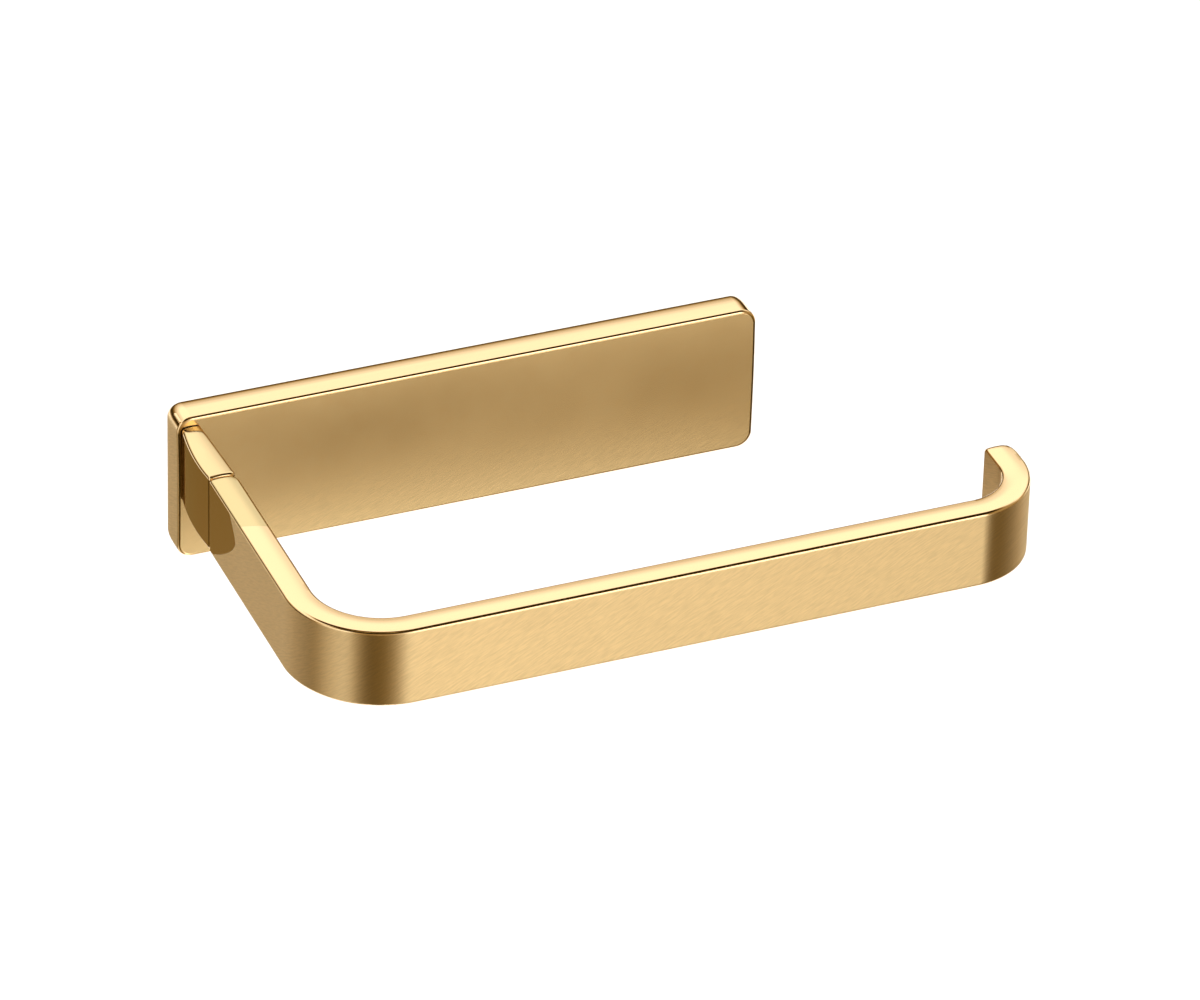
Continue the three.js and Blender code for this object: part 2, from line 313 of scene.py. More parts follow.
class Tree:
    """A node tree that is filled from code."""

    def __init__(self, nodes):
        self.nodes = nodes
        self.nodes.nodes.clear()

    def node(self, kind, settings=None, values=None):
        made = self.nodes.nodes.new(kind)
        for name, value in (settings or {}).items():
            if name == "stops":
                self.set_stops(made.color_ramp, value)
            else:
                setattr(made, name, value)
        for key, value in (values or {}).items():
            if isinstance(value, Wire):
                self.nodes.links.new(value.socket, made.inputs[key])
            else:
                made.inputs[key].default_value = value
        return made

    def add(self, kind, settings=None, values=None, out=0):
        return Wire(self, self.node(kind, settings, values).outputs[out])

    def parts(self, vector):
        """The three coordinates of a vector."""
        split = self.node("ShaderNodeSeparateXYZ", None, {0: vector})
        return [Wire(self, output) for output in split.outputs]

    def vector(self, x, y, z):
        return self.add("ShaderNodeCombineXYZ", None, {0: x, 1: y, 2: z})

    def ramp(self, value, stops):
        """A number that follows (position, number) stops and eases from one to the next."""
        settings = {"stops": [(place, (number, number, number, 1.0)) for place, number in stops]}
        ramp = self.node("ShaderNodeValToRGB", settings, {0: value})
        ramp.color_ramp.interpolation = "EASE"
        return self.add("ShaderNodeSeparateColor", None, {0: Wire(self, ramp.outputs[0])})

    def blend(self, share, first, second):
        """Two colours, mixed by a share from 0 to 1."""
        values = {"Factor": share, "A": first, "B": second}
        mix = self.nodes.nodes.new("ShaderNodeMix")
        mix.data_type = "RGBA"
        sockets = {"Factor": mix.inputs[0], "A": mix.inputs[6], "B": mix.inputs[7]}
        for key, value in values.items():
            if isinstance(value, Wire):
                self.nodes.links.new(value.socket, sockets[key])
            else:
                sockets[key].default_value = value
        return Wire(self, mix.outputs[2])

    @staticmethod
    def set_stops(ramp, stops):
        while len(ramp.elements) > 1:
            ramp.elements.remove(ramp.elements[-1])
        ramp.elements[0].position = stops[0][0]
        ramp.elements[0].color = stops[0][1]
        for place, value in stops[1:]:
            ramp.elements.new(place).color = value


def opaque(rgb, shade=1.0):
    return (rgb[0] * shade, rgb[1] * shade, rgb[2] * shade, 1.0)


# ---------------------------------------------------------------- finishes


def new_finish(name):
    """A material with an empty tree."""
    material = bpy.data.materials.new(name)
    material.use_nodes = True
    return material, Tree(material.node_tree)


def shade(tree, values, fixed=None):
    """Ends a material in one shader."""
    surface = tree.add("ShaderNodeBsdfPrincipled", None, {**(fixed or {}), **values})
    tree.node("ShaderNodeOutputMaterial", None, {"Surface": surface})


def brush_marks(tree, x, y, z, slope, fine, coarse):
    """Fine marks that run along the bar or the cover at a slope."""
    along = x - y
    lie, stand = math.cos(slope), math.sin(slope)
    run = along * lie + z * stand
    across = z * lie - along * stand
    values = {
        "Vector": tree.vector(run * coarse, across * fine, 0.0),
        "Scale": 1.0,
        "Detail": 4.0,
        "Roughness": 0.6,
    }
    return tree.add("ShaderNodeTexNoise", None, values)


def gold_finish(name, looks, polished_share, face=None):
    """Gold that is satin where polished_share's first value is 0 and polished where it is 1; its second
    value lays on the darker root gold, which is painted shade.

    face is a darker colour, painted shade, and the roughness of faces that look into the room, if they
    differ.
    """
    material, tree = new_finish(name)
    place = tree.add("ShaderNodeTexCoord", None, None, "Object")
    x, y, z = tree.parts(place)
    normal = tree.parts(tree.add("ShaderNodeNewGeometry", None, None, "Normal"))
    polished, root = polished_share(tree, (x, y, z), normal)

    marks = brush_marks(tree, x, y, z, BRUSH_SLOPE, BRUSH_FINE, BRUSH_COARSE)
    cloud = tree.add("ShaderNodeTexNoise", None, {"Vector": place, "Scale": 45.0, "Detail": 3.0})
    satin, base = opaque(looks.satin_gold), looks.satin
    # faces that look into the room get the darker face gold, which is painted shade, and their own roughness
    if face is not None:
        facing = (-normal[1]).rise(0.6, 0.95)
        satin = tree.blend(facing, satin, opaque(face[0]))
        base = looks.satin + facing * (face[1] - looks.satin)
    shading = tree.blend(marks.rise(0.3, 0.7) * 0.22, satin, opaque(looks.root_shade_and_mark_gold, 0.5))
    bright = tree.blend(polished, shading, opaque(looks.polished_gold))
    # painted shade: the darker root gold where the second share is 1
    tint = tree.blend(root, bright, opaque(looks.root_shade_and_mark_gold))

    rough = base + ((marks - 0.5) * 0.5 + (cloud - 0.5) * 0.3) * base
    gloss = looks.polish + (cloud - 0.5) * 0.03
    roughness = rough + (gloss - rough) * polished
    relief = marks * (1.0 - polished) * looks.brushing
    bump = tree.add("ShaderNodeBump", None, {"Height": relief, "Strength": 0.25, "Distance": 0.02 * MM})
    fixed = {"Metallic": 1.0, "Anisotropic": looks.grain, "Anisotropic Rotation": GRAIN_TURN}
    shade(tree, {"Base Color": tint, "Roughness": roughness, "Normal": bump}, fixed)
    return material


def cover_gold(looks, sizes):
    """The cover: a satin face and ends, with a polished top, bottom and edges, and painted shade as a darker
    gold on its face.
    """
    low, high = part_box("cover_plate")
    half_width = (high[0] - low[0]) / 2
    half_height = (high[2] - low[2]) / 2

    def polished_share(tree, place, normal):
        x, _, z = place
        radius = sizes.face_corner + sizes.front_edge
        out_x = (abs(x) - (half_width - radius)).most(0.0)
        out_z = (abs(z) - (half_height - radius)).most(0.0)
        outside = (out_x * out_x + out_z * out_z) ** 0.5 - (radius - sizes.front_edge * 0.8)
        facing_room = (-normal[1]).rise(0.5, 0.9)
        rim = outside.rise(-0.15 * MM, 0.15 * MM) * facing_room
        band = abs(normal[2]).rise(*POLISHED_BAND)
        return rim.most(band), 0.0

    return gold_finish("satin_gold_cover", looks, polished_share, (looks.face_gold_painted_shade, looks.face_satin))


def arm_gold(looks, sizes):
    """The bar: satin faces, a polished top, bottom and edges, a polished root by the joint, and painted
    shade as a darker gold on the top of that root.
    """
    low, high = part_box("roll_arm")
    middle = (low[2] + high[2]) / 2

    def polished_share(tree, place, normal):
        x, y, z = place
        band = abs(normal[2]).rise(*POLISHED_BAND)
        upright = 1.0 - abs(normal[2]).rise(0.3, 0.7)

        lift = (z - (middle + sizes.tongue_rise)) / MM
        lower = TONGUE_BELOW[0] * (-lift).most(0.0) ** TONGUE_BELOW[1]
        higher = TONGUE_ABOVE[0] * lift.most(0.0) ** TONGUE_ABOVE[1]
        reach = TONGUE_REACH - lower - higher
        tongue = (y / MM + reach).rise(-TONGUE_EDGE, TONGUE_EDGE) * upright

        # the darker top of the root, painted shade, ends on a slant, and only the leg by the joint has one
        slant = (y + sizes.shaded_root_zone + sizes.shaded_root_slant * (x - low[0])) / MM
        left_leg = 1.0 - (x - low[0]).rise(*LEFT_LEG)
        top_root_painted_shade = slant.rise(-ROOT_SHADE_EDGE, ROOT_SHADE_EDGE) * (1.0 - upright) * left_leg
        return band.most(tongue), top_root_painted_shade

    return gold_finish("satin_gold_arm", looks, polished_share)


def post_gold(looks):
    """The post: polished all over, with painted shade as a darker gold on its top and bottom."""

    def polished_share(tree, place, normal):
        # the top and bottom faces take part of the darker root gold: painted shade
        return 1.0, abs(normal[2]).rise(0.3, 0.8) * 0.6

    return gold_finish("polished_gold_post", looks, polished_share)


def zinc_finish(looks):
    """Bright zinc on steel, faintly blue and yellow, with rolling marks."""
    material, tree = new_finish("zinc_plated_steel")
    place = tree.add("ShaderNodeTexCoord", None, None, "Object")
    cloud = tree.add("ShaderNodeTexNoise", None, {"Vector": place, "Scale": 60.0, "Detail": 5.0})
    x, y, z = tree.parts(place)
    streak = tree.vector(x * 90.0, y * 1500.0, z * 1500.0)
    rolled = tree.add("ShaderNodeTexNoise", None, {"Vector": streak, "Scale": 1.0, "Detail": 3.0})
    zinc = looks.zinc
    cool = (zinc[0] * 0.88, zinc[1] * 0.95, zinc[2] * 1.06, 1.0)
    warm = (zinc[0] * 1.10, zinc[1] * 1.05, zinc[2] * 0.90, 1.0)
    tint = tree.blend(cloud.rise(0.35, 0.65), cool, warm)
    dull = tree.blend(rolled.rise(0.45, 0.8) * 0.35, tint, opaque(zinc, 0.6))
    roughness = 0.30 + (cloud - 0.5) * 0.25 + (rolled - 0.5) * 0.15
    bump = tree.add("ShaderNodeBump", None, {"Height": rolled, "Strength": 0.15, "Distance": 0.03 * MM})
    shade(tree, {"Base Color": dull, "Roughness": roughness, "Normal": bump}, {"Metallic": 1.0})
    return material


def oxide_finish(looks):
    """Black oxide with worn, paler spots."""
    material, tree = new_finish("black_steel")
    place = tree.add("ShaderNodeTexCoord", None, None, "Object")
    spots = tree.add("ShaderNodeTexNoise", None, {"Vector": place, "Scale": 900.0, "Detail": 4.0})
    worn = tree.blend(spots.rise(0.55, 0.75), opaque(looks.oxide), opaque(looks.oxide, 2.4))
    bump = tree.add("ShaderNodeBump", None, {"Height": spots, "Strength": 0.2, "Distance": 0.02 * MM})
    roughness = 0.42 + (spots - 0.5) * 0.2
    shade(tree, {"Base Color": worn, "Roughness": roughness, "Normal": bump}, {"Metallic": 0.9})
    return material


def nylon_finish(looks):
    """Moulded nylon with a fine matt grain and slightly milky patches."""
    material, tree = new_finish("grey_nylon")
    place = tree.add("ShaderNodeTexCoord", None, None, "Object")
    grain = tree.add("ShaderNodeTexNoise", None, {"Vector": place, "Scale": 2600.0, "Detail": 2.0})
    milk = tree.add("ShaderNodeTexNoise", None, {"Vector": place, "Scale": 140.0, "Detail": 3.0})
    tint = tree.blend(milk.rise(0.3, 0.7), opaque(looks.nylon, 0.9), opaque(looks.nylon, 1.12))
    bump = tree.add("ShaderNodeBump", None, {"Height": grain, "Strength": 0.3, "Distance": 0.03 * MM})
    roughness = 0.5 + (grain - 0.5) * 0.2
    shade(tree, {"Base Color": tint, "Roughness": roughness, "Normal": bump}, {"IOR": 1.53})
    return material


# ---------------------------------------------------------------- meshes


def mesh_piece(name, points, faces):
    """A new object from points and faces, with its faces turned outwards."""
    mesh = bpy.data.meshes.new(name)
    mesh.from_pydata([tuple(point) for point in points], [], faces)
    shape = bmesh.new()
    shape.from_mesh(mesh)
    bmesh.ops.remove_doubles(shape, verts=shape.verts, dist=1e-7)
    bmesh.ops.recalc_face_normals(shape, faces=shape.faces)
    shape.to_mesh(mesh)
    shape.free()
    piece = bpy.data.objects.new(name, mesh)
    bpy.context.scene.collection.objects.link(piece)
    return piece


def loft(name, rings, strips=False):
    """A closed skin over rings of equally many points, with its two ends filled.

    With strips, the last end is filled row by row, between the ring's two matching sides.
    """
    count = len(rings[0])
    points = [point for ring in rings for point in ring]
    faces = []
    for row in range(len(rings) - 1):
        for step in range(count):
            ahead = (step + 1) % count
            here, there = row * count, (row + 1) * count
            faces.append((here + step, here + ahead, there + ahead, there + step))
    last = (len(rings) - 1) * count
    faces.append(tuple(range(count)))
    if strips:
        far = last + count - 1
        for row in range(count // 2 - 1):
            faces.append((last + row, last + row + 1, far - row - 1, far - row))
    else:
        faces.append(tuple(range(last, last + count)))
    return mesh_piece(name, points, faces)


def block(name, low, high):
    """A box between two corners."""
    corners = [(low[0], high[2]), (high[0], high[2]), (high[0], low[2]), (low[0], low[2])]
    return loft(name, [[(x, y, z) for x, z in corners] for y in (low[1], high[1])])


def round_bar(name, axis, centre, radius, start, end, sides=32):
    """A round bar along the axis "Y" or "Z", between two depths or heights."""
    rings = []
    for place in (start, end):
        ring = []
        for step in range(sides):
            turn = TURN * step / sides
            across, other = radius * math.cos(turn), radius * math.sin(turn)
            if axis == "Y":
                ring.append((centre[0] + across, place, centre[1] + other))
            else:
                ring.append((centre[0] + across, centre[1] + other, place))
        rings.append(ring)
    return loft(name, rings)


def settle(piece):
    """Applies the piece's modifiers, so that it is a plain mesh."""
    depsgraph = bpy.context.evaluated_depsgraph_get()
    mesh = bpy.data.meshes.new_from_object(
        piece.evaluated_get(depsgraph), preserve_all_data_layers=True, depsgraph=depsgraph
    )
    mesh.name = piece.name
    piece.modifiers.clear()
    piece.data = mesh


def carve(piece, tools, operation):
    """Adds the tools to the piece or cuts them out of it, and throws the tools away."""
    for tool in tools:
        modifier = piece.modifiers.new("carve", "BOOLEAN")
        modifier.operation = operation
        modifier.solver = "EXACT"
        modifier.object = tool
    settle(piece)
    for tool in tools:
        bpy.data.objects.remove(tool)


def smooth(piece):
    """Smooth shading that stops at sharp edges and keeps flat faces flat."""
    piece.data.shade_smooth()
    piece.data.set_sharp_from_angle(angle=SHARP_FROM)
    modifier = piece.modifiers.new("even faces", "WEIGHTED_NORMAL")
    modifier.weight = 100
    modifier.keep_sharp = True
    settle(piece)


def put_in_place(piece, slot, material, *nodes):
    """Gives the piece its finish and its body, and lets it stand for CAD nodes."""
    if not piece.data.materials:
        piece.data.materials.append(material)
    for index in range(len(piece.data.materials)):
        piece.data.materials[index] = material
    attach(piece, "root")
    if nodes:
        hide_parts(*nodes)


def finish_node(name, material):
    """Gives a CAD node its material."""
    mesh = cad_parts[name].data
    mesh.materials.clear()
    mesh.materials.append(material)


def centre_of(name, first, second):
    """The middle of a node's box along two of its axes, numbered from 0."""
    low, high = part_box(name)
    return ((low[first] + high[first]) / 2, (low[second] + high[second]) / 2)


def corner_arc(centre, radius, start, steps):
    """Points on a quarter turn, with both ends."""
    turns = [start + QUARTER * step / steps for step in range(steps + 1)]
    return [(centre[0] + radius * math.cos(turn), centre[1] + radius * math.sin(turn)) for turn in turns]


def rounded_rectangle(half_width, half_height, radius):
    """An upright rounded rectangle: its right side downwards, then its left side upwards."""
    x, z = half_width - radius, half_height - radius
    upper = corner_arc((x, z), radius, 0.0, CORNER_STEPS)[::-1]
    straight = [(half_width, z - 2 * z * step / SIDE_STEPS) for step in range(1, SIDE_STEPS)]
    right = upper + straight + [(across, -height) for across, height in reversed(upper)]
    return right + [(-across, height) for across, height in reversed(right)]


# ---------------------------------------------------------------- cover


def cover_rings(sizes, half_width, half_height, depth):
    """Rings from the inside of the front wall, round the rim and on to the outer face."""

    def crowned(y, z):
        """The face bulges towards the room, and its share of the bulge fades out behind it."""
        share = max(0.0, -y / depth - 0.5) * 2
        return y + sizes.face_crown * share * (z / half_height) ** 2

    def ring(inset, radius, off_wall):
        outline = rounded_rectangle(half_width - inset, half_height - inset, radius)
        return [(x, -off_wall, z) for x, z in outline]

    inner_corner = sizes.corner - sizes.wall
    rings = [
        ring(sizes.wall, inner_corner, depth - sizes.front),
        ring(sizes.wall, inner_corner, sizes.back_chamfer),
        ring(sizes.wall - sizes.back_chamfer, inner_corner + sizes.back_chamfer, 0.0),
    ]
    for step in range(CORNER_STEPS + 1):
        turn = QUARTER * step / CORNER_STEPS
        inset = sizes.back_inset * (1 - math.sin(turn))
        rings.append(ring(inset, sizes.corner - inset, sizes.back_depth * (1 - math.cos(turn))))
    for step in range(RIM_STEPS + 1):
        turn = QUARTER * step / RIM_STEPS
        inset = sizes.front_edge * (1 - math.cos(turn))
        share = inset / sizes.front_edge
        radius = sizes.corner + (sizes.face_corner - sizes.corner) * share
        rings.append(ring(inset, radius, depth - sizes.front_edge * (1 - math.sin(turn))))
    return [[(x, crowned(y, z), z) for x, y, z in ring] for ring in rings]


class HOLDER_OT_cover(bpy.types.Operator):
    """Make the hollow cover with its polished edges, its pads and its screw holes"""

    bl_idname = "holder.make_cover"
    bl_label = "Cover"

    def execute(self, context):
        sizes = context.scene.holder_cover
        screws = context.scene.holder_fasteners
        room = screws.clearance
        low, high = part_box("cover_plate")
        half_width, half_height, depth = high[0], high[2], -low[1]
        piece = loft("cover", cover_rings(sizes, half_width, half_height, depth), strips=True)

        inside = -(depth - sizes.front)
        joined = sizes.wall / 2
        pads = [
            block(
                "post_pad",
                (low[0] + joined, inside - joined, sizes.pad_bottom),
                (sizes.pad_right, inside + sizes.pad_depth, half_height - joined),
            )
        ]
        holes = []
        for side in ("left", "right"):
            screw_low, screw_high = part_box(f"cover_set_screw_{side}")
            centre = centre_of(f"cover_set_screw_{side}", 0, 1)
            half = sizes.screw_pad_width / 2
            pads.append(
                block(
                    "screw_pad",
                    (centre[0] - half, inside - joined, low[2] + joined),
                    (centre[0] + half, -sizes.screw_pad_back, sizes.screw_pad_top),
                )
            )
            radius = (screw_high[1] - screw_low[1]) / 2 + room
            holes.append(round_bar("screw_hole", "Z", centre, radius, low[2] - MM, sizes.screw_pad_top + MM))
        for side in ("lower", "upper"):
            screw_low, screw_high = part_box(f"post_screw_{side}")
            centre = centre_of(f"post_screw_{side}", 0, 2)
            head, shank = (screw_high[2] - screw_low[2]) / 2 + room, screws.post_shank + room
            seat = screw_high[1] - screws.post_head
            holes.append(round_bar("head_hole", "Y", centre, head, seat, 2 * MM))
            holes.append(round_bar("shank_hole", "Y", centre, shank, low[1] - MM, seat + MM))
        carve(piece, pads, "UNION")
        carve(piece, holes, "DIFFERENCE")
        smooth(piece)
        finish = cover_gold(context.scene.holder_finishes, sizes)
        put_in_place(piece, "satin_gold_cover", finish, "cover_plate")
        return {"FINISHED"}


# ---------------------------------------------------------------- post


def bar_section(left, right, bottom, top, edge, crown, y):
    """One ring of a crowned bar with rounded edges, between two sides and two heights."""
    middle_x, middle_z = (left + right) / 2, (bottom + top) / 2
    half_x, half_z = (right - left) / 2, (top - bottom) / 2
    flat = half_z - crown
    outline = []
    for number, (side_x, side_z) in enumerate([(1, 1), (-1, 1), (-1, -1), (1, -1)]):
        centre = (side_x * (half_x - edge), side_z * (flat - edge))
        arc = corner_arc(centre, edge, QUARTER * number, EDGE_STEPS)
        outline += arc
        if number % 2 == 0:
            reach, height = arc[-1]
            outline += [(reach * (1 - 2 * step / CROWN_STEPS), height) for step in range(1, CROWN_STEPS)]
    ring = []
    for x, z in outline:
        lift = crown * (1 - (x / half_x) ** 2) * (1 if z > 0 else -1)
        ring.append((middle_x + x, y, middle_z + z + lift))
    return ring


def quadratic(first, control, last, share):
    """A point on a quadratic curve."""
    rest = 1 - share
    weights = (rest * rest, 2 * rest * share, share * share)
    return tuple(weights[0] * a + weights[1] * b + weights[2] * c for a, b, c in zip(first, control, last))


class HOLDER_OT_post(bpy.types.Operator):
    """Make the polished post that stands on the cover, with the socket for the bar's tenon"""

    bl_idname = "holder.make_post"
    bl_label = "Post"

    def execute(self, context):
        sizes = context.scene.holder_bar
        screws = context.scene.holder_fasteners
        room = screws.clearance
        low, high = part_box("arm_post")
        left, root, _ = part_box("cover_plate")[0]
        end = low[1]
        inside = left + sizes.thickness
        first = (left + sizes.root_inset, root)
        control = (left - sizes.bulge, -sizes.bulge_at)
        last = (left + sizes.tip_in, end)

        rings = []
        for step in range(POST_STEPS + 1):
            x, y = quadratic(first, control, last, step / POST_STEPS)
            right = first[0] + sizes.root_width
            right += (inside - right) * (y - root) / (end - root)
            rings.append((x, right, y, 0.0))
        soft = sizes.edge
        rings = [ring for ring in rings if ring[2] > end + sizes.post_corner]
        base = rings[-1]
        for step in range(CROWN_STEPS + 1):
            turn = QUARTER * step / CROWN_STEPS
            y = end + sizes.post_corner * (1 - math.sin(turn))
            near_end = max(0.0, soft - (y - end))
            tuck = soft - math.sqrt(max(soft * soft - near_end * near_end, 0.0))
            outer = base[0] + (last[0] - base[0]) * step / CROWN_STEPS + tuck
            inner = inside - sizes.post_corner * (1 - math.cos(turn))
            rings.append((outer, inner, y, tuck))
        sections = [
            bar_section(outer, inner, low[2] + tuck, high[2] - tuck, soft, sizes.crown, y)
            for outer, inner, y, tuck in rings
        ]
        piece = loft("post", sections)

        middle = left + sizes.thickness / 2
        height = (low[2] + high[2]) / 2
        half_thick = sizes.tenon_thickness / 2 + room
        half_high = sizes.tenon_height / 2 + room
        holes = [
            block(
                "tenon_socket",
                (middle - half_thick, end - MM, height - half_high),
                (middle + half_thick, end + sizes.tenon_length + room, height + half_high),
            )
        ]
        screw_low, screw_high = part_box("arm_set_screw")
        radius = (screw_high[0] - screw_low[0]) / 2 + room
        centre = (middle, (screw_low[1] + screw_high[1]) / 2)
        holes.append(round_bar("set_screw_hole", "Z", centre, radius, low[2] - MM, height))
        for side in ("lower", "upper"):
            centre = centre_of(f"post_screw_{side}", 0, 2)
            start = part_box(f"post_screw_{side}")[0][1] - room
            holes.append(round_bar("screw_hole", "Y", centre, screws.post_shank + room, start, root + MM))
        carve(piece, holes, "DIFFERENCE")
        smooth(piece)
        put_in_place(piece, "polished_gold_post", post_gold(context.scene.holder_finishes), "arm_post")
        return {"FINISHED"}


# ---------------------------------------------------------------- geometry trees


def open_group(name, inputs):
    """A geometry node group, its tree and its named inputs, which are (kind, labels) pairs."""
    group = bpy.data.node_groups.new(name, "GeometryNodeTree")
    for kind, labels in [*inputs, ("Material", ["Finish"])]:
        for label in labels:
            group.interface.new_socket(label, in_out="INPUT", socket_type=f"NodeSocket{kind}")
    group.interface.new_socket("Shape", in_out="OUTPUT", socket_type="NodeSocketGeometry")
    tree = Tree(group)
    source = tree.node("NodeGroupInput")
    return group, tree, {output.name: Wire(tree, output) for output in source.outputs if output.name}


def close_group(tree, shape, finish):
    """Ends a geometry tree: instances become real and take the finish."""
    real = tree.add("GeometryNodeRealizeInstances", None, {"Geometry": shape})
    done = tree.add("GeometryNodeSetMaterial", None, {"Geometry": real, "Material": finish})
    tree.node("NodeGroupOutput", None, {"Shape": done})


def circle(tree, points, radius):
    """A round curve."""
    values = {"Resolution": points, "Radius": radius}
    return tree.add("GeometryNodeCurvePrimitiveCircle", {"mode": "RADIUS"}, values)


def grow(piece, group, values):
    """Runs a geometry tree on the piece with named values, and leaves a plain mesh."""
    modifier = piece.modifiers.new(group.name, "NODES")
    modifier.node_group = group
    for item in group.interface.items_tree:
        if item.item_type == "SOCKET" and item.in_out == "INPUT" and item.name in values:
            modifier[item.identifier] = values[item.name]
    settle(piece)


# ---------------------------------------------------------------- bar


def bar_tree():
    """Sweeps a crowned flat section along the bar's path and rounds its two ends."""
    numbers = [
        "Thickness",
        "Height",
        "Edge",
        "Crown",
        "Joint Depth",
        "Joint Side",
        "Joint Outer Corner",
        "Joint Inner Corner",
        "Tip Depth",
        "Tip Side",
        "Tip Outer Corner",
        "Tip Inner Corner",
        "Tip Top Corner",
        "Middle Height",
    ]
    group, tree, given = open_group("flat bar along a path", [("Geometry", ["Path"]), ("Float", numbers)])
    thick, height, edge, crown = (given[key] for key in numbers[:4])

    sides = {"Width": thick, "Height": height - crown * 2.0}
    outline = tree.add("GeometryNodeCurvePrimitiveQuadrilateral", {"mode": "RECTANGLE"}, sides)
    rounding = {"Curve": outline, "Radius": edge, "Count": 5}
    filleted = tree.add("GeometryNodeFilletCurve", {"mode": "POLY"}, rounding)
    section = tree.add("GeometryNodeSubdivideCurve", None, {"Curve": filleted, "Cuts": 5})
    across, up, _ = tree.parts(tree.add("GeometryNodeInputPosition"))
    share = across * 2.0 / thick
    lift = crown * (1.0 - share * share) * tree.add("ShaderNodeMath", {"operation": "SIGN"}, {0: up})
    raised = {"Geometry": section, "Offset": tree.vector(0.0, lift, 0.0)}
    section = tree.add("GeometryNodeSetPosition", None, raised)

    path = tree.add("GeometryNodeMeshToCurve", None, {"Mesh": given["Path"]})
    path = tree.add("GeometryNodeSetCurveNormal", {"mode": "Z_UP"}, {"Curve": path})
    sweep = {"Curve": path, "Profile Curve": section, "Fill Caps": True}
    swept = tree.add("GeometryNodeCurveToMesh", None, sweep)

    x, y, z = tree.parts(tree.add("GeometryNodeInputPosition"))

    def drawn_in(radius, depth):
        """How far a side has drawn in, at a depth before the end, for a corner radius."""
        before = (radius - depth).most(0.0)
        return radius - (radius * radius - before * before).most(0.0) ** 0.5

    def end_shift(name, top, outward):
        """Shift of a point near one end of the bar, so that the end has rounded corners."""
        side, outer, inner = (given[f"{name} {part}"] for part in ("Side", "Outer Corner", "Inner Corner"))
        depth = (given[f"{name} Depth"] - y).most(0.0)
        off = (x - side) * outward
        is_outer = off.rise(-0.1 * MM, 0.1 * MM)
        inset = drawn_in(outer, depth) * is_outer + drawn_in(inner, depth) * (1.0 - is_outer)
        shift_x = -(x - side) * inset * 2.0 / thick
        over = z - given["Middle Height"]
        is_top = over.rise(-0.1 * MM, 0.1 * MM)
        inset_z = drawn_in(top, depth) * is_top + drawn_in(edge, depth) * (1.0 - is_top)
        shift_z = -over * inset_z * 2.0 / height
        near = 1.0 - abs(x - side).rise(4.0 * MM, 4.2 * MM)
        return shift_x * near, shift_z * near

    joint = end_shift("Joint", edge, -1.0)
    tip = end_shift("Tip", given["Tip Top Corner"], 1.0)
    offset = tree.vector(joint[0] + tip[0], 0.0, joint[1] + tip[1])
    shaped = tree.add("GeometryNodeSetPosition", None, {"Geometry": swept, "Offset": offset})
    close_group(tree, shaped, given["Finish"])
    return group


def eased_stations(length_of_run, steps):
    """Distances along a straight run that lie close together near each of its ends."""
    last = END_RINGS[-1]
    even = [length_of_run * step / steps for step in range(steps + 1)]
    close = END_RINGS + [length_of_run - offset for offset in END_RINGS]
    kept = [place for place in even if last < place < length_of_run - last]
    return sorted({0.0, length_of_run, *close, *kept})


def bend_points(centre, radius, start, steps):
    """Points inside a quarter turn, without its two ends."""
    turns = [start + QUARTER * step / steps for step in range(1, steps)]
    return [(centre[0] + radius * math.cos(turn), centre[1] + radius * math.sin(turn)) for turn in turns]


def bar_path(sizes, joint, tip, reach):
    """Points of the bar's middle line, from the joint round both bends to the tip."""
    bend = (joint[0] + sizes.front_bend, reach + sizes.front_bend)
    hook = (tip[0] - sizes.hook_bend, reach + sizes.hook_bend)
    points = [(joint[0], joint[1] - place) for place in eased_stations(joint[1] - bend[1], 14)]
    points += bend_points(bend, sizes.front_bend, math.pi, LARGE_BEND_STEPS)
    front = [bend[0] + (hook[0] - bend[0]) * step / FRONT_STEPS for step in range(FRONT_STEPS + 1)]
    points += [(x, reach) for x in front]
    points += bend_points(hook, sizes.hook_bend, 3 * QUARTER, SMALL_BEND_STEPS)
    points += [(tip[0], hook[1] + place) for place in eased_stations(tip[1] - hook[1], 4)]
    return points


class HOLDER_OT_arm(bpy.types.Operator):
    """Sweep the flat bar from the joint round both bends to the hook's tip, and add its tenon"""

    bl_idname = "holder.make_arm"
    bl_label = "Arm"

    def execute(self, context):
        sizes = context.scene.holder_bar
        low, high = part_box("roll_arm")
        post_low, post_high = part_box("arm_post")
        bottom, top = post_low[2], post_high[2]
        middle = (bottom + top) / 2
        half = sizes.thickness / 2
        joint = (low[0] + half, post_low[1] - sizes.joint_gap)
        tip = (high[0] - half, -sizes.tip)
        path = bar_path(sizes, joint, tip, low[1] + half)
        links = [(step, step + 1) for step in range(len(path) - 1)]
        mesh = bpy.data.meshes.new("arm")
        mesh.from_pydata([(x, y, middle) for x, y in path], links, [])
        piece = bpy.data.objects.new("arm", mesh)
        context.scene.collection.objects.link(piece)
        finish = arm_gold(context.scene.holder_finishes, sizes)
        values = {
            "Thickness": sizes.thickness,
            "Height": top - bottom,
            "Edge": sizes.edge,
            "Crown": sizes.crown,
            "Joint Depth": joint[1],
            "Joint Side": joint[0],
            "Joint Outer Corner": sizes.joint_outer,
            "Joint Inner Corner": sizes.joint_inner,
            "Tip Depth": tip[1],
            "Tip Side": tip[0],
            "Tip Outer Corner": sizes.tip_outer,
            "Tip Inner Corner": sizes.tip_inner,
            "Tip Top Corner": sizes.tip_top,
            "Middle Height": middle,
            "Finish": finish,
        }
        grow(piece, bar_tree(), values)
        thin, tall = sizes.tenon_thickness / 2, sizes.tenon_height / 2
        tenon = block(
            "tenon",
            (joint[0] - thin, joint[1] - sizes.joint_inner, middle - tall),
            (joint[0] + thin, joint[1] + sizes.tenon_length, middle + tall),
        )
        carve(piece, [tenon], "UNION")
        smooth(piece)
        put_in_place(piece, "satin_gold_arm", finish, "roll_arm")
        return {"FINISHED"}
